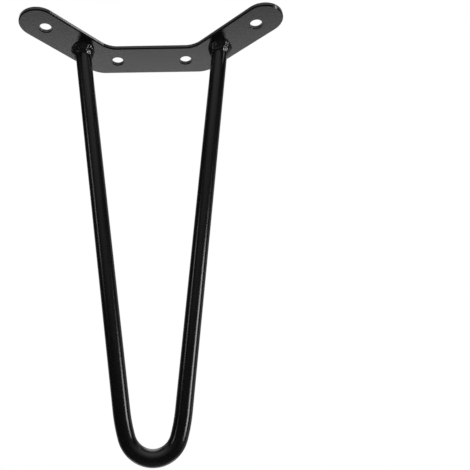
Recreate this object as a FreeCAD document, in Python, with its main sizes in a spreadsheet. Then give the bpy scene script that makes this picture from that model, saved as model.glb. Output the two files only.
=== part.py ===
"""Hairpin table leg for a 305 mm (12 inch) coffee table or bench.

One solid 12 mm round bar is bent into a narrow V with a round nose, which is the foot.
Its two ends are welded under a flat C-shaped mounting plate: a straight bar with a wing
turned 45 degrees in the plate's own plane at each end. Four holes take the screws.
The plane of the V leans outwards from the plate, towards the plate's convex side.

Frame: millimetres, +Z up. The origin is the middle of the plate's straight bar, on the
top face that bears on the table. +X runs along the bar and +Y points outwards, the way
the foot leans. The leg hangs down from the origin.
"""
import FreeCAD
import Part
import Sketcher
import math
import os

from FreeCAD import Placement, Rotation, Vector
from Sketcher import Constraint

doc = FreeCAD.newDocument("hairpin_leg")

# Driving dimensions in millimetres and degrees, then the values that follow from them
SIZES = [
    ("overall_height", "305", "table underside to floor"),
    ("rod_diameter", "12", "round steel bar"),
    ("plate_thickness", "3", "flat steel sheet"),
    ("strip_width", "29.5", "width of the plate's bar and wings"),
    ("knee_spacing", "78", "between the plate's two knees, on the centreline"),
    ("wing_angle", "45", "turn of each wing from the bar"),
    ("wing_length", "61", "knee to the centre of the round end"),
    ("outer_knee_radius", "17", "corner on the plate's convex side"),
    ("inner_knee_radius", "15", "corner on the plate's concave side"),
    ("rim_bevel", "0.4", "broken rims of the plate and its holes"),
    ("hole_diameter", "9", "screw clearance holes"),
    ("bar_hole_spacing", "54", "between the two holes in the bar"),
    ("wing_hole_distance", "55", "knee to the hole in a wing"),
    ("rod_seat_distance", "20", "knee to the rod's axis, along a wing"),
    ("leg_splay", "10", "lean of the leg's plane from vertical"),
    ("nose_radius", "18.2", "centreline of the bend at the foot"),
    ("nose_turn", "74", "turn at that radius on each side of the foot"),
    ("flank_radius", "110", "easing bend between the nose and each straight"),
    ("rod_trim", "12", "bar beyond the plate's underside, cut off after bending"),
    ("weld_height", "6.2", "reach of the weld down the rod"),
    ("weld_core_reach", "2.9", "reach of the even part of the weld along the plate"),
    ("weld_bite", "0.4", "how far the weld runs into the rod's surface before it is cut back"),
    ("weld_overcut", "2", "weld above the plate's underside before it is cut back"),
    ("drop_radius", "3.2", "ripple of the weld at the plate"),
    ("drop_tip_radius", "1.5", "the same ripple at its lower end"),
    ("drop_pitch", "3.9", "from ripple to ripple"),
    ("drop_tilt", "10", "lean of a ripple towards the rod"),
    ("drop_unevenness", "0.08", "spread of the ripples' size, as a share of it"),
    ("knee_across", "=knee_spacing / 2", "knee from the middle"),
    ("tip_across", "=knee_across + wing_length * cos(wing_angle * 1 deg)", "round end's centre, along X"),
    ("tip_back", "=wing_length * sin(wing_angle * 1 deg)", "round end's centre, along -Y"),
    ("hole_across", "=knee_across + wing_hole_distance * cos(wing_angle * 1 deg)", "wing hole, along X"),
    ("hole_back", "=wing_hole_distance * sin(wing_angle * 1 deg)", "wing hole, along -Y"),
    ("seat_across", "=knee_across + rod_seat_distance * cos(wing_angle * 1 deg)", "rod's axis, along X"),
    ("seat_back", "=rod_seat_distance * sin(wing_angle * 1 deg)", "rod's axis, along -Y"),
    ("rod_radius", "=rod_diameter / 2", "round steel bar"),
    ("trim_reach", "=2 * rod_trim", "half the size of the block that cuts the rod's ends"),
    ("leg_drop", "=(overall_height - plate_thickness - rod_radius) / cos(leg_splay * 1 deg)",
     "plate's underside to the nose's centreline, in the leg's plane"),
]

sheet = doc.addObject("Spreadsheet::Sheet", "Sizes")
for row, (alias, value, note) in enumerate(SIZES, start=1):
    sheet.set(f"A{row}", alias)
    sheet.set(f"B{row}", value)
    sheet.set(f"C{row}", note)
    sheet.setAlias(f"B{row}", alias)
doc.recompute()


def size(alias):
    """A dimension read back from the sheet."""
    return float(sheet.get(alias))


# The axes, the origin and an element's points, as a sketch's constraints number them
ORIGIN = (-1, 1)
LEVEL_AXIS, UPRIGHT_AXIS = -1, -2
START, END, CENTRE = 1, 2, 3


def origin_plane(body, role):
    return next(f for f in body.Origin.OriginFeatures if f.Role == role)


def new_sketch(body, name, role):
    """An empty sketch on one of a body's own origin planes."""
    sketch = body.newObject("Sketcher::SketchObject", name)
    sketch.AttachmentSupport = [(origin_plane(body, role), "")]
    sketch.MapMode = "FlatFace"
    return sketch


def drive(sketch, name, expression, constraint):
    """Adds a dimension to a sketch and binds it to the sheet."""
    sketch.addConstraint(constraint)
    sketch.renameConstraint(sketch.ConstraintCount - 1, name)
    sketch.setExpression(f"Constraints.{name}", expression)


def drive_point(sketch, name, element, point, across, down):
    """Holds a point by its distances to the right of the origin and below it."""
    drive(sketch, f"{name}_across", f"Sizes.{across}",
          Constraint("DistanceX", *ORIGIN, element, point, size(across)))
    drive(sketch, f"{name}_down", f"Sizes.{down}",
          Constraint("DistanceY", element, point, *ORIGIN, size(down)))


# Mounting plate: cut from sheet, drilled, with every rim broken
strip_half = size("strip_width") / 2
wing_turn = math.radians(size("wing_angle"))
mitre_reach = strip_half * math.tan(wing_turn / 2)
far_knee = Vector(size("knee_across") + mitre_reach, strip_half, 0)
near_knee = Vector(size("knee_across") - mitre_reach, -strip_half, 0)


def flipped(point):
    return Vector(-point.x, point.y, point.z)


def draw_plate(sketch):
    """The plate's outline: sharp at the knees, a half circle at the end of each wing."""
    wing_way = Vector(math.cos(wing_turn), -math.sin(wing_turn), 0)
    wing_side = Vector(math.sin(wing_turn), math.cos(wing_turn), 0) * strip_half
    knee = Vector(size("knee_across"), 0, 0)
    tip = knee + wing_way * size("wing_length")

    def add_line(start, end, construction=False):
        return sketch.addGeometry(Part.LineSegment(start, end), construction)

    def add_arc(start, middle, end):
        return sketch.addGeometry(Part.Arc(start, middle, end))

    outer_tip, end_tip, inner_tip = tip + wing_side, tip + wing_way * strip_half, tip - wing_side
    top = add_line(flipped(far_knee), far_knee)
    outer = add_line(far_knee, outer_tip)
    right_end = add_arc(inner_tip, end_tip, outer_tip)
    inner = add_line(inner_tip, near_knee)
    bottom = add_line(near_knee, flipped(near_knee))
    left_inner = add_line(flipped(near_knee), flipped(inner_tip))
    left_end = add_arc(flipped(outer_tip), flipped(end_tip), flipped(inner_tip))
    left_outer = add_line(flipped(outer_tip), flipped(far_knee))
    wing_line = add_line(knee, tip, construction=True)

    sketch.addConstraint([
        Constraint("Coincident", top, END, outer, START),
        Constraint("Tangent", outer, END, right_end, END),
        Constraint("Tangent", right_end, START, inner, START),
        Constraint("Coincident", inner, END, bottom, START),
        Constraint("Coincident", bottom, END, left_inner, START),
        Constraint("Coincident", left_inner, END, left_end, END),
        Constraint("Coincident", left_end, START, left_outer, START),
        Constraint("Coincident", left_outer, END, top, START),
        Constraint("Symmetric", top, START, top, END, UPRIGHT_AXIS),
        Constraint("Symmetric", bottom, START, bottom, END, UPRIGHT_AXIS),
        Constraint("Symmetric", outer, END, left_outer, START, UPRIGHT_AXIS),
        Constraint("Symmetric", inner, START, left_inner, END, UPRIGHT_AXIS),
        Constraint("Horizontal", right_end, CENTRE, left_end, CENTRE),
        Constraint("Parallel", outer, wing_line),
        Constraint("Parallel", inner, wing_line),
        Constraint("Coincident", right_end, CENTRE, wing_line, END),
        Constraint("PointOnObject", wing_line, START, LEVEL_AXIS),
    ])
    half_width = "Sizes.strip_width / 2"
    drive(sketch, "bar_far_edge", half_width, Constraint("DistanceY", *ORIGIN, top, END, strip_half))
    drive(sketch, "bar_near_edge", half_width, Constraint("DistanceY", bottom, START, *ORIGIN, strip_half))
    drive(sketch, "end_radius", half_width, Constraint("Radius", right_end, strip_half))
    drive(sketch, "knee", "Sizes.knee_across",
          Constraint("DistanceX", *ORIGIN, wing_line, START, size("knee_across")))
    drive_point(sketch, "tip", wing_line, END, "tip_across", "tip_back")


def draw_holes(sketch):
    """Two screw holes in the bar and one in each wing."""
    bar_hole = Vector(size("bar_hole_spacing") / 2, 0, 0)
    wing_hole = Vector(size("hole_across"), -size("hole_back"), 0)
    radius = size("hole_diameter") / 2
    holes = [sketch.addGeometry(Part.Circle(centre, Vector(0, 0, 1), radius))
             for centre in (bar_hole, flipped(bar_hole), wing_hole, flipped(wing_hole))]
    right_bar, left_bar, right_wing, left_wing = holes
    drive(sketch, "hole", "Sizes.hole_diameter", Constraint("Diameter", right_bar, size("hole_diameter")))
    sketch.addConstraint([Constraint("Equal", right_bar, hole) for hole in holes[1:]])
    sketch.addConstraint([
        Constraint("PointOnObject", right_bar, CENTRE, LEVEL_AXIS),
        Constraint("Symmetric", left_bar, CENTRE, right_bar, CENTRE, UPRIGHT_AXIS),
        Constraint("Symmetric", left_wing, CENTRE, right_wing, CENTRE, UPRIGHT_AXIS),
    ])
    drive(sketch, "bar_hole", "Sizes.bar_hole_spacing / 2",
          Constraint("DistanceX", *ORIGIN, right_bar, CENTRE, bar_hole.x))
    drive_point(sketch, "wing_hole", right_wing, CENTRE, "hole_across", "hole_back")


def treat_edges(body, kind, name, base, dimension, alias, wanted):
    """Rounds or bevels the edges of a feature that the test picks."""
    treatment = body.newObject(f"PartDesign::{kind}", name)
    edges = [f"Edge{number}" for number, edge in enumerate(base.Shape.Edges, start=1) if wanted(edge)]
    treatment.Base = (base, edges)
    treatment.setExpression(dimension, f"Sizes.{alias}")
    doc.recompute()
    return treatment


def corner_test(corner):
    """Picks the upright edges at a knee and at its mirror image."""
    def wanted(edge):
        middle = edge.CenterOfMass
        places = (corner, flipped(corner))
        return any(math.dist((middle.x, middle.y), (p.x, p.y)) < size("rim_bevel") for p in places)
    return wanted


def lies_flat(edge):
    """Picks the rims, which lie in the plate's top or bottom face."""
    return edge.BoundBox.ZLength < size("rim_bevel")


plate = doc.addObject("PartDesign::Body", "mounting_plate")
outline = new_sketch(plate, "plate_outline", "XY_Plane")
draw_plate(outline)
sheet_metal = plate.newObject("PartDesign::Pad", "plate_blank")
sheet_metal.Profile = outline
sheet_metal.Reversed = True
sheet_metal.setExpression("Length", "Sizes.plate_thickness")
doc.recompute()
outer_rounded = treat_edges(plate, "Fillet", "outer_knees", sheet_metal,
                            "Radius", "outer_knee_radius", corner_test(far_knee))
treat_edges(plate, "Fillet", "inner_knees", outer_rounded,
            "Radius", "inner_knee_radius", corner_test(near_knee))
hole_sketch = new_sketch(plate, "screw_hole_centres", "XY_Plane")
draw_holes(hole_sketch)
holes = plate.newObject("PartDesign::Pocket", "screw_holes")
holes.Profile = hole_sketch
holes.Type = "ThroughAll"
doc.recompute()
treat_edges(plate, "Chamfer", "broken_rims", holes, "Size", "rim_bevel", lies_flat)


# Hairpin rod: half of the bent bar swept up from the foot, mirrored, and cut flush with the plate
def draw_centreline(sketch):
    """Nose, flank and straight of the right half, tangent to each other. The straight passes
    through the rod's seat, which is level with the sketch's origin. Returns the straight."""
    nose, flank = size("nose_radius"), size("flank_radius")
    level = -math.pi / 2
    turned = level + math.radians(size("nose_turn"))
    nose_centre = Vector(0, nose - size("leg_drop"), 0)
    flank_centre = nose_centre + Vector(math.cos(turned), math.sin(turned), 0) * (nose - flank)
    seat = Vector(size("seat_across"), 0, 0)
    sight = seat - flank_centre
    lean = math.acos(flank / sight.Length) - math.atan2(-flank_centre.y, sight.x)
    flank_top = flank_centre + Vector(math.cos(lean), -math.sin(lean), 0) * flank
    rise = size("rod_trim") - flank_top.y
    top = flank_top + Vector(rise * math.tan(lean), rise, 0)

    up = Vector(0, 0, 1)
    nose_arc = sketch.addGeometry(Part.ArcOfCircle(Part.Circle(nose_centre, up, nose), level, turned))
    flank_arc = sketch.addGeometry(Part.ArcOfCircle(Part.Circle(flank_centre, up, flank), turned, -lean))
    straight = sketch.addGeometry(Part.LineSegment(flank_top, top))
    seat_point = sketch.addGeometry(Part.Point(seat), True)
    sketch.addConstraint([
        Constraint("PointOnObject", nose_arc, CENTRE, UPRIGHT_AXIS),
        Constraint("PointOnObject", nose_arc, START, UPRIGHT_AXIS),
        Constraint("Tangent", nose_arc, END, flank_arc, START),
        Constraint("Tangent", flank_arc, END, straight, START),
        Constraint("PointOnObject", seat_point, START, LEVEL_AXIS),
        Constraint("PointOnObject", seat_point, START, straight),
    ])
    drive(sketch, "drop", "Sizes.leg_drop",
          Constraint("DistanceY", nose_arc, START, *ORIGIN, size("leg_drop")))
    drive(sketch, "nose", "Sizes.nose_radius", Constraint("Radius", nose_arc, nose))
    drive(sketch, "turn", "Sizes.nose_turn * 1 deg", Constraint("Angle", nose_arc, turned - level))
    drive(sketch, "flank", "Sizes.flank_radius", Constraint("Radius", flank_arc, flank))
    drive(sketch, "seat", "Sizes.seat_across", Constraint("DistanceX", *ORIGIN, seat_point, START, seat.x))
    drive(sketch, "trim", "Sizes.rod_trim", Constraint("DistanceY", *ORIGIN, straight, END, size("rod_trim")))
    return straight


def draw_section(sketch):
    """The round bar where it crosses the middle of the nose."""
    centre = Vector(0, -size("leg_drop"), 0)
    bar = sketch.addGeometry(Part.Circle(centre, Vector(0, 0, 1), size("rod_radius")))
    sketch.addConstraint(Constraint("PointOnObject", bar, CENTRE, UPRIGHT_AXIS))
    drive(sketch, "drop", "Sizes.leg_drop", Constraint("DistanceY", bar, CENTRE, *ORIGIN, size("leg_drop")))
    drive(sketch, "bar_size", "Sizes.rod_diameter", Constraint("Diameter", bar, size("rod_diameter")))


def draw_trim(sketch):
    """What is cut off above the plate's underside, seen along X in the leaning leg's frame."""
    splay = math.radians(size("leg_splay"))
    along = Vector(math.cos(splay), -math.sin(splay), 0) * size("trim_reach")
    above = Vector(math.sin(splay), math.cos(splay), 0) * size("trim_reach")
    corners = [-along, along, along + above, above - along]
    sides = [sketch.addGeometry(Part.LineSegment(corner, after))
             for corner, after in zip(corners, corners[1:] + corners[:1])]
    underside, outward, lid, inward = sides
    sketch.addConstraint([Constraint("Coincident", side, END, after, START)
                          for side, after in zip(sides, sides[1:] + sides[:1])])
    sketch.addConstraint([
        Constraint("Symmetric", underside, START, underside, END, *ORIGIN),
        Constraint("Perpendicular", underside, outward),
        Constraint("Parallel", underside, lid),
        Constraint("Parallel", outward, inward),
    ])
    drive(sketch, "splay", "-Sizes.leg_splay * 1 deg", Constraint("Angle", underside, -splay))
    drive(sketch, "width", "2 * Sizes.trim_reach", Constraint("Distance", underside, 2 * size("trim_reach")))
    drive(sketch, "height", "Sizes.trim_reach", Constraint("Distance", outward, size("trim_reach")))


rod = doc.addObject("PartDesign::Body", "hairpin_rod")
rod.Placement = Placement(Vector(0, 0, 0), Rotation(Vector(1, 0, 0), size("leg_splay")))
rod.setExpression("Placement.Base.y", "-Sizes.seat_back")
rod.setExpression("Placement.Base.z", "-Sizes.plate_thickness")
rod.setExpression("Placement.Rotation.Angle", "Sizes.leg_splay")
centreline = new_sketch(rod, "rod_centreline", "XZ_Plane")
straight_part = draw_centreline(centreline)
section = new_sketch(rod, "rod_section", "YZ_Plane")
draw_section(section)
doc.recompute()
half_rod = rod.newObject("PartDesign::AdditivePipe", "bent_half")
half_rod.Profile = section
half_rod.Spine = centreline
doc.recompute()
both_halves = rod.newObject("PartDesign::Mirrored", "bent_bar")
both_halves.Originals = [half_rod]
both_halves.MirrorPlane = (origin_plane(rod, "YZ_Plane"), [""])
rod.Tip = both_halves
doc.recompute()
trim_sketch = new_sketch(rod, "end_trim", "YZ_Plane")
draw_trim(trim_sketch)
trimmed = rod.newObject("PartDesign::Pocket", "trimmed_bar")
trimmed.Profile = trim_sketch
trimmed.Type = "ThroughAll"
trimmed.SideType = "Symmetric"
doc.recompute()


# Weld beads: an even fillet with a ring of ripples, cut back to the rod and to the plate's underside
GOLDEN_ANGLE = math.pi * (3 - math.sqrt(5))


def weld_metal(label, side):
    """The fillet and its ripples follow the leaning rod, in the frame of the rod's seat."""
    straight = centreline.Geometry[straight_part]
    rise = straight.EndPoint - straight.StartPoint
    splay = math.radians(size("leg_splay"))
    down_rod = Vector(-side * rise.x / rise.y / math.cos(splay), math.tan(splay), -1)
    start = down_rod * -size("weld_overcut")
    upwards = Vector(0, 0, 1)

    core = doc.addObject("Part::Cone", f"{label}_core")
    core.setExpression("Radius1", "Sizes.rod_radius + Sizes.weld_core_reach")
    core.setExpression("Radius2", "Sizes.rod_radius - Sizes.weld_bite")
    core.setExpression("Height", "Sizes.weld_height + Sizes.weld_overcut")
    core.Placement = Placement(start, Rotation(upwards, down_rod))
    metal = [core]

    tilt = math.tan(math.radians(size("drop_tilt")))
    count = round(2 * math.pi * size("rod_radius") / size("drop_pitch"))
    for number in range(count):
        turn = 2 * math.pi * number / count
        outwards = Vector(math.cos(turn), math.sin(turn), 0)
        swell = 1 + size("drop_unevenness") * math.cos(GOLDEN_ANGLE * number + side)
        ripple = doc.addObject("Part::Cone", f"{label}_ripple")
        ripple.setExpression("Radius1", f"Sizes.drop_radius * {swell:.4f}")
        ripple.setExpression("Radius2", f"Sizes.drop_tip_radius * {swell:.4f}")
        ripple.setExpression("Height", f"Sizes.weld_height * {swell:.4f} + Sizes.weld_overcut")
        foot = start + outwards * (size("rod_radius") + tilt * size("weld_overcut"))
        ripple.Placement = Placement(foot, Rotation(upwards, down_rod - outwards * tilt))
        metal.append(ripple)
    return metal


def weld_bead(label, side):
    metal = doc.addObject("Part::MultiFuse", f"{label}_metal")
    metal.Shapes = weld_metal(label, side)
    metal.setExpression("Placement.Base.x", f"{side} * Sizes.seat_across")
    metal.setExpression("Placement.Base.y", "-Sizes.seat_back")
    metal.setExpression("Placement.Base.z", "-Sizes.plate_thickness")
    around_rod = doc.addObject("Part::Cut", f"{label}_around_rod")
    around_rod.Base = metal
    around_rod.Tool = rod
    bead = doc.addObject("Part::Cut", label)
    bead.Base = around_rod
    bead.Tool = above_underside
    return bead


above_underside = doc.addObject("Part::Box", "above_underside")
above_underside.setExpression("Length", "2 * (Sizes.seat_across + Sizes.trim_reach)")
above_underside.setExpression("Width", "2 * Sizes.trim_reach")
above_underside.setExpression("Height", "Sizes.trim_reach")
above_underside.setExpression("Placement.Base.x", "-Sizes.seat_across - Sizes.trim_reach")
above_underside.setExpression("Placement.Base.y", "-Sizes.seat_back - Sizes.trim_reach")
above_underside.setExpression("Placement.Base.z", "-Sizes.plate_thickness")
left_bead = weld_bead("weld_bead_left", -1)
right_bead = weld_bead("weld_bead_right", 1)
doc.recompute()


# Every piece is checked and written
faulty = [item.Name for item in doc.Objects if {"Invalid", "Error"} & set(item.State)]
if faulty:
    raise RuntimeError(f"not recomputed cleanly: {faulty}")
os.makedirs("parts", exist_ok=True)
for piece in (plate, rod, left_bead, right_bead):
    shape = piece.Shape
    if shape.isNull() or not shape.isValid() or len(shape.Solids) != 1:
        raise RuntimeError(f"{piece.Label} is not one valid solid")
    shape.exportStep(f"parts/{piece.Label}.step")
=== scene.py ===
import bmesh
import bpy
import math
import random
from mathutils import Matrix, Vector


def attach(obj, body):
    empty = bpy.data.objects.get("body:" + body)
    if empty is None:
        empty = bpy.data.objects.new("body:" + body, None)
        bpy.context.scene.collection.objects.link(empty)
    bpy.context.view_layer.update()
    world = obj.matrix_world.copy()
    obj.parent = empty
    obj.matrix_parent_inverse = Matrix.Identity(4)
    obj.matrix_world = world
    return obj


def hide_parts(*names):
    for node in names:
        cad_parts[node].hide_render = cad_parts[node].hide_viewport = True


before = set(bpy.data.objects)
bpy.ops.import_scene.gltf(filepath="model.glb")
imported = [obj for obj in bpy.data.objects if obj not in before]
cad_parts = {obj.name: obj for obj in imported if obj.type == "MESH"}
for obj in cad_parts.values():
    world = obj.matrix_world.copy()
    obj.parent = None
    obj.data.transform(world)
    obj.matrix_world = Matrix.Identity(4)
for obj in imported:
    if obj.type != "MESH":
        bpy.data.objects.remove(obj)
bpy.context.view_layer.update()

# Camera: low and close in front of the leg's concave side, looking up at the plate's underside.
# The photograph is a cut-out of a wider shot, so the lens is shifted to put the leg on its left.
SENSOR_WIDTH = 36
NEAREST_SEEN = 0.01
PHOTO_SIDE = 470
FOCAL_LENGTH_PIXELS = 633.85
LEG_COLUMN = 151
CAMERA_PLACE = Vector((0.010600, -0.403578, -0.335047))
CAMERA_YAW, CAMERA_PITCH, CAMERA_ROLL = (math.radians(turn) for turn in (1.5606, 24.0923, -0.0784))

camera = bpy.data.objects.new("camera", bpy.data.cameras.new("camera"))
bpy.context.scene.collection.objects.link(camera)
camera.data.sensor_width = SENSOR_WIDTH
camera.data.lens = SENSOR_WIDTH * FOCAL_LENGTH_PIXELS / PHOTO_SIDE
camera.data.shift_x = (PHOTO_SIDE / 2 - LEG_COLUMN) / PHOTO_SIDE
camera.data.clip_start = NEAREST_SEEN
camera.matrix_world = (
    Matrix.Translation(CAMERA_PLACE)
    @ Matrix.Rotation(CAMERA_YAW, 4, "Z")
    @ Matrix.Rotation(CAMERA_PITCH, 4, "X")
    @ Matrix.Rotation(CAMERA_ROLL, 4, "Y")
    @ Matrix.Rotation(math.pi / 2, 4, "X")
)
bpy.context.scene.camera = camera
bpy.context.scene.view_settings.view_transform = "Standard"


# Mounting plate: 3 mm sheet steel cut to a wide C with four screw holes and broken rims.
# It is sprayed with satin black powder, which bakes to a skin with a fine orange peel.
PLATE_THICKNESS = 0.003
STRIP_HALF = 0.01475
KNEE_ACROSS = 0.039
WING_TURN = math.radians(45)
WING_LENGTH = 0.061
OUTER_KNEE_RADIUS, INNER_KNEE_RADIUS = 0.017, 0.015
FACE_RIM_BREAK, HOLE_RIM_BREAK, BACK_RIM_BREAK = 0.0008, 0.0005, 0.00015
HOLE_RADIUS = 0.0045
BAR_HOLE_ACROSS = 0.027
WING_HOLE_DISTANCE = 0.055
HOLE_SIDES = 48
CORNER_STEPS = 20
CORNER_SHARE = 0.9999
MERGE_DISTANCE = 0.00001
RIM_TURN = math.radians(60)
PLATE_BLACK = (0.0010, 0.0010, 0.0011, 1)
# The lighter black marks thin spots and specks, and the rims, where it is partly rubbed wear and partly
# painted sheen.
PLATE_BLACK_WORN_AND_SHEEN = (0.0100, 0.0100, 0.0103, 1)
PLATE_GLOSS, PLATE_PEEL_HEIGHT, PLATE_PEEL_PER_METRE = 0.12, 0.00004, 1100
PLATE_CREASE = 30
# The rubs' scale here and the rim width below shape the lighter rims, partly rubbed wear and partly painted
# sheen.
THIN_SPOTS_PER_METRE, SPECKS_PER_METRE, RIM_RUBS_AND_SHEEN_PER_METRE = 35, 1400, 180
RIM_WEAR_AND_SHEEN = 0.0006


class Wire:
    """One output of a shader node. Arithmetic on it adds Math nodes to its tree."""

    def __init__(self, tree, socket=None):
        self.tree = tree
        self.socket = socket

    def node(self, kind, settings, values, output=0):
        """Adds a node of that type: its settings first, then its sockets' values or links."""
        made = self.tree.nodes.new(f"ShaderNode{kind}")
        for name, value in settings.items():
            setattr(made, name, value)
        for name, value in values.items():
            if isinstance(value, Wire):
                self.tree.links.new(value.socket, made.inputs[name])
            else:
                made.inputs[name].default_value = value
        return Wire(self.tree, made.outputs[output] if made.outputs else None)

    def maths(self, operation, first, second):
        return self.node("Math", {"operation": operation}, {0: first, 1: second})

    def __add__(self, other):
        return self.maths("ADD", self, other)

    def __sub__(self, other):
        return self.maths("SUBTRACT", self, other)

    def __rsub__(self, other):
        return self.maths("SUBTRACT", other, self)

    def __mul__(self, other):
        return self.maths("MULTIPLY", self, other)

    __radd__ = __add__
    __rmul__ = __mul__


def ramp(wire, low, high):
    """0 below low, 1 above high, and smooth between them."""
    return wire.node("MapRange", {"interpolation_type": "SMOOTHSTEP"},
                     {"Value": wire, "From Min": low, "From Max": high}, "Result")


def powder_coat(name, black, worn_and_sheen, gloss, peel_height, peel_per_metre):
    """Baked powder: orange peel and grain in the bump; thin spots, specks and lighter rims in the colour,
    the rims partly rubbed wear and partly painted sheen.
    """
    material = bpy.data.materials.new(name)
    material.use_nodes = True
    material.node_tree.nodes.clear()
    start = Wire(material.node_tree)
    place = start.node("TexCoord", {}, {}, "Object")

    def noise(scale, detail=2.0):
        return start.node("TexNoise", {}, {"Vector": place, "Scale": scale, "Detail": detail}, "Fac")

    peel = noise(peel_per_metre)
    grain = noise(peel_per_metre * 4)
    drift = noise(THIN_SPOTS_PER_METRE, 4.0)
    specks = ramp(noise(SPECKS_PER_METRE, 1.0), 0.70, 0.76)
    rounded = start.node("Bevel", {"samples": 4}, {"Radius": RIM_WEAR_AND_SHEEN}, "Normal")
    facing = start.node("NewGeometry", {}, {}, "Normal")
    even = start.node("VectorMath", {"operation": "DOT_PRODUCT"}, {0: rounded, 1: facing}, "Value")
    # Lighter rims from the bevel mask: partly rubbed wear, partly a painted sheen where the edges catch the
    # light.
    rubbed_and_sheen = (1 - ramp(even, 0.80, 0.97)) * ramp(noise(RIM_RUBS_AND_SHEEN_PER_METRE, 3.0), 0.35, 0.65)
    thin = ramp(drift, 0.35, 0.70) * 0.22 + specks * 0.3
    # A Mix node of colours takes its factor at 0 and its colours at 6 and 7, and gives its result at 2.
    colour = start.node("Mix", {"data_type": "RGBA"}, {0: thin + rubbed_and_sheen * 0.8, 6: black, 7: worn_and_sheen}, 2)
    relief = peel + grain * 0.35 + specks * 0.5
    bump = start.node("Bump", {}, {"Strength": 1.0, "Distance": peel_height, "Height": relief}, "Normal")
    roughness = gloss + (drift - 0.5) * 0.12 + (grain - 0.5) * 0.10 + specks * 0.15 - rubbed_and_sheen * 0.04
    shader = start.node("BsdfPrincipled", {}, {
        "Base Color": colour, "Roughness": roughness, "IOR": 1.5, "Normal": bump,
    }, "BSDF")
    start.node("OutputMaterial", {}, {"Surface": shader})
    return material


def finished_piece(name, shape, material, node, crease=50):
    """Makes the coated piece for a CAD node of a bmesh, smooth where it turns less than the crease."""
    bmesh.ops.recalc_face_normals(shape, faces=shape.faces)
    mesh = bpy.data.meshes.new(name)
    shape.to_mesh(mesh)
    shape.free()
    mesh.shade_smooth()
    mesh.set_sharp_from_angle(angle=math.radians(crease))
    mesh.materials.append(material)
    piece = bpy.data.objects.new(name, mesh)
    bpy.context.scene.collection.objects.link(piece)
    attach(piece, "root")
    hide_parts(node)


def flipped(point):
    """The same point on the other side of the leg's middle."""
    return Vector((-point.x, point.y, point.z))


wing_way = Vector((math.cos(WING_TURN), -math.sin(WING_TURN), 0))
wing_side = Vector((math.sin(WING_TURN), math.cos(WING_TURN), 0)) * STRIP_HALF
knee = Vector((KNEE_ACROSS, 0, 0))
mitre_reach = STRIP_HALF * math.tan(WING_TURN / 2)
wing_end = knee + wing_way * (WING_LENGTH + STRIP_HALF)
knee_tangent = math.tan(WING_TURN / 2)
right_corners = [
    (knee + Vector((mitre_reach, STRIP_HALF, 0)), OUTER_KNEE_RADIUS * knee_tangent),
    (wing_end + wing_side, STRIP_HALF),
    (wing_end - wing_side, STRIP_HALF),
    (knee - Vector((mitre_reach, STRIP_HALF, 0)), INNER_KNEE_RADIUS * knee_tangent),
]
corners = right_corners + [(flipped(corner), reach) for corner, reach in reversed(right_corners)]

shape = bmesh.new()
shape.faces.new([shape.verts.new(corner) for corner, _ in corners])
for corner, reach in corners:
    vertex = min(shape.verts, key=lambda v: (v.co - corner).length)
    bmesh.ops.bevel(shape, geom=[vertex], offset=reach * CORNER_SHARE, affect="VERTICES",
                    segments=CORNER_STEPS, profile=0.5, material=-1)
bmesh.ops.remove_doubles(shape, verts=shape.verts, dist=MERGE_DISTANCE)
bmesh.ops.delete(shape, geom=shape.faces, context="FACES_ONLY")
hole_spots = [(BAR_HOLE_ACROSS, 0),
              (KNEE_ACROSS + WING_HOLE_DISTANCE * wing_way.x, WING_HOLE_DISTANCE * wing_way.y)]
for across, back in hole_spots:
    for side in (-1, 1):
        bmesh.ops.create_circle(shape, cap_ends=False, segments=HOLE_SIDES, radius=HOLE_RADIUS,
                                matrix=Matrix.Translation((side * across, back, 0)))
bmesh.ops.triangle_fill(shape, use_beauty=True, edges=shape.edges)
lifted = bmesh.ops.extrude_face_region(shape, geom=shape.faces)
bmesh.ops.translate(shape, vec=(0, 0, -PLATE_THICKNESS),
                    verts=[item for item in lifted["geom"] if isinstance(item, bmesh.types.BMVert)])
bmesh.ops.recalc_face_normals(shape, faces=shape.faces)
rims = [edge for edge in shape.edges
        if abs(edge.verts[0].co.z - edge.verts[1].co.z) < PLATE_THICKNESS / 2
        and edge.calc_face_angle(0) > RIM_TURN]
hole_places = [Vector((side * across, back)) for side in (-1, 1) for across, back in hole_spots]
back_rims = [edge for edge in rims if edge.verts[0].co.z > -PLATE_THICKNESS / 2]
hole_rims = [edge for edge in rims if edge not in back_rims
             and min((edge.verts[0].co.xy - place).length for place in hole_places) < STRIP_HALF / 2]
face_rims = [edge for edge in rims if edge not in back_rims and edge not in hole_rims]
for edges, rim_break in ((face_rims, FACE_RIM_BREAK), (hole_rims, HOLE_RIM_BREAK),
                         (back_rims, BACK_RIM_BREAK)):
    bmesh.ops.bevel(shape, geom=edges, offset=rim_break, affect="EDGES", segments=1, profile=0.5,
                    material=-1)
plate_coat = powder_coat("plate_coat", PLATE_BLACK, PLATE_BLACK_WORN_AND_SHEEN, PLATE_GLOSS, PLATE_PEEL_HEIGHT,
                         PLATE_PEEL_PER_METRE)
finished_piece("mounting_plate_coated", shape, plate_coat, "mounting_plate", PLATE_CREASE)


# Hairpin rod: 12 mm round steel bar, bent round a former at the foot and eased out on both sides.
# The coat is the plate's, and looks glossier because the bar is drawn smooth.
ROD_RADIUS = 0.006
SEAT_ALONG_WING = 0.020
LEG_SPLAY = math.radians(10)
NOSE_RADIUS = 0.0182
NOSE_TURN = math.radians(74)
FLANK_RADIUS = 0.110
LEG_HEIGHT = 0.305
ROD_TRIM = 0.012
ROD_SIDES = 64
NOSE_STEPS, FLANK_STEPS = 40, 8
HALVES_DISTANCE = 0.000001
ROD_BLACK = (0.0025, 0.0025, 0.0026, 1)
# The lighter black is for thin spots, specks and rims; on the rims it is partly painted sheen.
ROD_BLACK_WORN_AND_SHEEN = (0.0080, 0.0080, 0.0083, 1)
ROD_GLOSS, ROD_PEEL_HEIGHT, ROD_PEEL_PER_METRE = 0.21, 0.000005, 900

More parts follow.
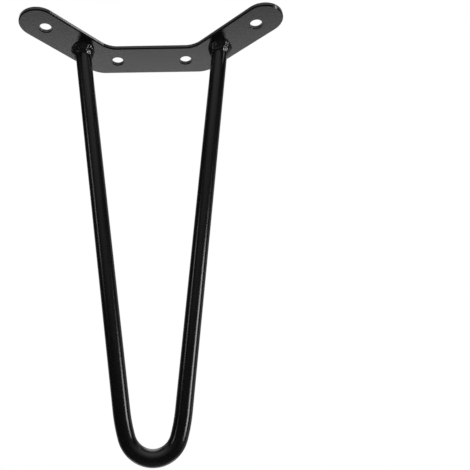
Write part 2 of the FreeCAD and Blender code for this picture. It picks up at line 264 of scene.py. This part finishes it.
leg_drop = (LEG_HEIGHT - PLATE_THICKNESS - ROD_RADIUS) / math.cos(LEG_SPLAY)
seat = knee + wing_way * SEAT_ALONG_WING
nose_centre = Vector((0, 0, NOSE_RADIUS - leg_drop))
to_nose_end = Vector((math.sin(NOSE_TURN), 0, -math.cos(NOSE_TURN)))
flank_centre = nose_centre + to_nose_end * (NOSE_RADIUS - FLANK_RADIUS)
sight = Vector((seat.x, 0, 0)) - flank_centre
rod_lean = math.acos(FLANK_RADIUS / sight.length) - math.atan2(sight.z, sight.x)
flank_turn = math.pi / 2 - NOSE_TURN - rod_lean
leg_frame = Matrix.Translation((0, seat.y, -PLATE_THICKNESS)) @ Matrix.Rotation(LEG_SPLAY, 4, "X")

shape = bmesh.new()
bmesh.ops.create_circle(shape, cap_ends=False, segments=ROD_SIDES, radius=ROD_RADIUS,
                        matrix=Matrix.Translation((0, 0, -leg_drop)) @ Matrix.Rotation(math.pi / 2, 4, "Y"))
end = shape.edges[:]
for centre, turn, steps in ((nose_centre, NOSE_TURN, NOSE_STEPS), (flank_centre, flank_turn, FLANK_STEPS)):
    swept = bmesh.ops.spin(shape, geom=end, cent=centre, axis=(0, -1, 0), angle=turn, steps=steps)
    end = [item for item in swept["geom_last"] if isinstance(item, bmesh.types.BMEdge)]
run = (seat.x - sum(v.co.x for e in end for v in e.verts) / (2 * len(end))) / math.sin(rod_lean)
swept = bmesh.ops.extrude_edge_only(shape, edges=end)
top_ring = [item for item in swept["geom"] if isinstance(item, bmesh.types.BMVert)]
bmesh.ops.translate(shape, verts=top_ring,
                    vec=Vector((math.sin(rod_lean), 0, math.cos(rod_lean))) * (run + ROD_TRIM))
everything = shape.verts[:] + shape.edges[:] + shape.faces[:]
bmesh.ops.mirror(shape, geom=everything, axis="X", merge_dist=HALVES_DISTANCE)
bmesh.ops.remove_doubles(shape, verts=shape.verts, dist=HALVES_DISTANCE)
bmesh.ops.transform(shape, matrix=leg_frame, verts=shape.verts)
everything = shape.verts[:] + shape.edges[:] + shape.faces[:]
bmesh.ops.bisect_plane(shape, geom=everything, plane_co=(0, 0, -PLATE_THICKNESS), plane_no=(0, 0, 1),
                       clear_outer=True)
bmesh.ops.holes_fill(shape, edges=[edge for edge in shape.edges if edge.is_boundary])
rod_coat = powder_coat("rod_coat", ROD_BLACK, ROD_BLACK_WORN_AND_SHEEN, ROD_GLOSS, ROD_PEEL_HEIGHT,
                       ROD_PEEL_PER_METRE)
finished_piece("hairpin_rod_coated", shape, rod_coat, "hairpin_rod")


# Weld beads: metal laid by hand in the corner between the rod's end and the plate, in small drops.
# It flares from the rod to the plate. The coat runs thick over it, so it is the glossiest place.
BEAD_INNER, BEAD_REACH, BEAD_NECK, BEAD_DEPTH = 0.0054, 0.0087, 0.0062, 0.0064
DROP_RADIUS = 0.0028
DROP_PITCH = 0.0024
DROP_RISE = 0.0006
DROP_ROWS = 4
DROP_STRAY = 0.25
DROP_SMALLEST, DROP_LARGEST = 0.75, 1.15
DROP_WAVER = 0.0004
DROP_SUBDIVISIONS = 4
FLARE_SIDES = 64
BEAD_VOXEL = 0.0002
FLOW_ROUNDS = 4
WELD_BLACK = (0.0040, 0.0040, 0.0042, 1)
# The lighter black is for thin spots, specks and rims; on the rims it is partly painted sheen.
WELD_BLACK_WORN_AND_SHEEN = (0.0090, 0.0090, 0.0093, 1)
WELD_GLOSS, WELD_PEEL_HEIGHT, WELD_PEEL_PER_METRE = 0.06, 0.000004, 700

weld_coat = powder_coat("weld_coat", WELD_BLACK, WELD_BLACK_WORN_AND_SHEEN, WELD_GLOSS, WELD_PEEL_HEIGHT,
                        WELD_PEEL_PER_METRE)
for label, side in (("left", -1), ("right", 1)):
    lay = random.Random(f"weld {label}")
    down_rod = leg_frame.to_3x3() @ Vector((-side * math.tan(rod_lean), 0, -1))
    down_rod /= -down_rod.z
    bead_frame = Matrix.Translation((side * seat.x, seat.y, -PLATE_THICKNESS)) @ Matrix((
        (1, 0, down_rod.x, 0), (0, 1, down_rod.y, 0), (0, 0, -1, 0), (0, 0, 0, 1)))
    shape = bmesh.new()
    flare = [shape.verts.new(corner) for corner in (
        (BEAD_INNER, 0, -DROP_RADIUS), (BEAD_REACH, 0, -DROP_RADIUS), (BEAD_REACH, 0, 0),
        (BEAD_NECK, 0, BEAD_DEPTH), (BEAD_INNER, 0, BEAD_DEPTH))]
    rim = [shape.edges.new((flare[number - 1], flare[number])) for number in range(len(flare))]
    bmesh.ops.spin(shape, geom=flare + rim, cent=(0, 0, 0), axis=(0, 0, 1), angle=math.tau,
                   steps=FLARE_SIDES, use_merge=True)
    for row in range(DROP_ROWS):
        down = row / DROP_ROWS
        ring = BEAD_REACH + (BEAD_NECK - BEAD_REACH) * down
        count = round(math.tau * ring / DROP_PITCH)
        for number in range(count):
            turn = math.tau * (number + 0.5 * (row % 2) + lay.uniform(-DROP_STRAY, DROP_STRAY)) / count
            radius = DROP_RADIUS * lay.uniform(DROP_SMALLEST, DROP_LARGEST)
            reach = ring + DROP_RISE * lay.uniform(0.0, 1.0) - radius
            centre = (math.cos(turn) * reach, math.sin(turn) * reach,
                      down * BEAD_DEPTH + lay.uniform(-DROP_WAVER, DROP_WAVER))
            bmesh.ops.create_icosphere(shape, subdivisions=DROP_SUBDIVISIONS, radius=radius,
                                       matrix=Matrix.Translation(centre))
    bmesh.ops.transform(shape, matrix=bead_frame, verts=shape.verts)
    bmesh.ops.recalc_face_normals(shape, faces=shape.faces)
    lumps = bpy.data.meshes.new("weld_lumps")
    shape.to_mesh(lumps)
    shape.free()
    fused = bpy.data.objects.new("weld_lumps", lumps)
    bpy.context.scene.collection.objects.link(fused)
    remesh = fused.modifiers.new("fuse", "REMESH")
    remesh.mode = "VOXEL"
    remesh.voxel_size = BEAD_VOXEL
    smooth = fused.modifiers.new("flow", "SMOOTH")
    smooth.factor = 0.5
    smooth.iterations = FLOW_ROUNDS
    shape = bmesh.new()
    shape.from_object(fused, bpy.context.evaluated_depsgraph_get())
    bpy.data.objects.remove(fused)
    bpy.data.meshes.remove(lumps)
    everything = shape.verts[:] + shape.edges[:] + shape.faces[:]
    bmesh.ops.bisect_plane(shape, geom=everything, plane_co=(0, 0, -PLATE_THICKNESS), plane_no=(0, 0, 1),
                           clear_outer=True)
    bmesh.ops.triangle_fill(shape, use_beauty=True, edges=[e for e in shape.edges if e.is_boundary])
    finished_piece(f"weld_bead_{label}_coated", shape, weld_coat, f"weld_bead_{label}")


# Studio: a pale floor well below the hanging leg, a surround that the camera sees as pure white, and
# soft lamps at its sides. The glossy coat mirrors the surround and the lamps, and not the floor.
FLOOR_HEIGHT = -1.2
FLOOR_HALF = 6.0
FLOOR_PAINT = (0.86, 0.86, 0.86, 1)
FLOOR_GLOW = 0.70
WHITE = (1, 1, 1, 1)
UP = Vector((0, 0, 1))
DARK_SIDE = 0.02
LAMP_DISTANCE = 1.5
LAMPS_FACE = Vector((0, 0, -0.17))

floor_shape = bmesh.new()
bmesh.ops.create_grid(floor_shape, x_segments=1, y_segments=1, size=FLOOR_HALF,
                      matrix=Matrix.Translation((0, 0, FLOOR_HEIGHT)))
floor_mesh = bpy.data.meshes.new("floor")
floor_shape.to_mesh(floor_mesh)
floor_shape.free()
floor = bpy.data.objects.new("floor", floor_mesh)
bpy.context.scene.collection.objects.link(floor)
floor.visible_glossy = False
floor.visible_shadow = False
floor_paint = bpy.data.materials.new("floor_paint")
floor_paint.use_nodes = True
floor_paint.node_tree.nodes.clear()
paint = Wire(floor_paint.node_tree)
matt = paint.node("BsdfDiffuse", {}, {"Color": FLOOR_PAINT}, "BSDF")
glow = paint.node("Emission", {}, {"Color": WHITE, "Strength": FLOOR_GLOW}, "Emission")
both = paint.node("AddShader", {}, {0: matt, 1: glow}, "Shader")
paint.node("OutputMaterial", {}, {"Surface": both})
floor_mesh.materials.append(floor_paint)


def toward(bearing, rise):
    """The direction of a bearing and a rise in degrees. Bearing 0 is the camera's side, 90 the right."""
    turn, lift = math.radians(bearing), math.radians(rise)
    return Vector((math.sin(turn) * math.cos(lift), -math.cos(turn) * math.cos(lift), math.sin(lift)))


world = bpy.data.worlds.new("surround")
world.use_nodes = True
world.node_tree.nodes.clear()
bpy.context.scene.world = world
sky = Wire(world.node_tree)
way = sky.node("TexCoord", {}, {}, "Generated")


def along(direction):
    """The cosine of the angle to that direction."""
    return sky.node("VectorMath", {"operation": "DOT_PRODUCT"}, {0: way, 1: direction}, "Value")


# The backdrop is dim at the rods' height, so their outlines stay dark. It has a bright patch low down,
# which the plate's underside mirrors, and one high up, which the inside of the foot mirrors.
behind = ramp(along(toward(169, -10)), 0.28, 0.44)
lift = along(UP)
backdrop = 0.16 + ramp(lift, -0.60, -0.40) * 0.18
low_band = ramp(lift, -0.74, -0.59) * (1 - ramp(lift, -0.60, -0.48)) * 2.12
low_patch = low_band * ramp(along(toward(180, -38)), 0.78, 0.92)
high_patch = ramp(along(toward(180, 66)), 0.88, 0.97) * 1.8
low_glow = ramp(along(toward(3, 8)), 0.72, 1.0) * ramp(lift, -0.20, 0.15) * 0.22
high_glow = ramp(along(toward(0, 30)), 0.60, 0.95) * ramp(lift, 0.18, 0.45) * 0.45
canopy = ramp(lift, 0.57, 0.66) * 0.60 - ramp(lift, 0.68, 0.80) * 0.42
straight_above = ramp(lift, 0.93, 0.99) * 0.45
beneath = (1 - ramp(lift, -0.97, -0.85)) * 0.08
front = low_glow + high_glow + canopy + straight_above
shade = DARK_SIDE + behind * (backdrop + low_patch) + high_patch + front + beneath
seen = sky.node("LightPath", {}, {}, "Is Camera Ray")
strength = seen + (1 - seen) * shade
surround = sky.node("Background", {}, {"Color": WHITE, "Strength": strength}, "Background")
sky.node("OutputWorld", {}, {"Surface": surround})


def soft_lamp(name, bearing, rise, width, length, radiance):
    """A rectangular area lamp that faces the middle of the leg."""
    out = toward(bearing, rise)
    data = bpy.data.lights.new(name, "AREA")
    data.shape = "RECTANGLE"
    data.size, data.size_y = width, length
    data.energy = radiance * math.pi * width * length
    lamp = bpy.data.objects.new(name, data)
    lamp.matrix_world = (Matrix.Translation(LAMPS_FACE + out * LAMP_DISTANCE)
                         @ out.to_track_quat("Z", "Y").to_matrix().to_4x4())
    bpy.context.scene.collection.objects.link(lamp)


soft_lamp("strip_right", 65.5, -11, 0.40, 0.74, 9.8)
soft_lamp("patch_left", -60, 9, 0.21, 0.44, 3.5)
soft_lamp("high_right", 78, 49, 0.20, 0.16, 5.8)
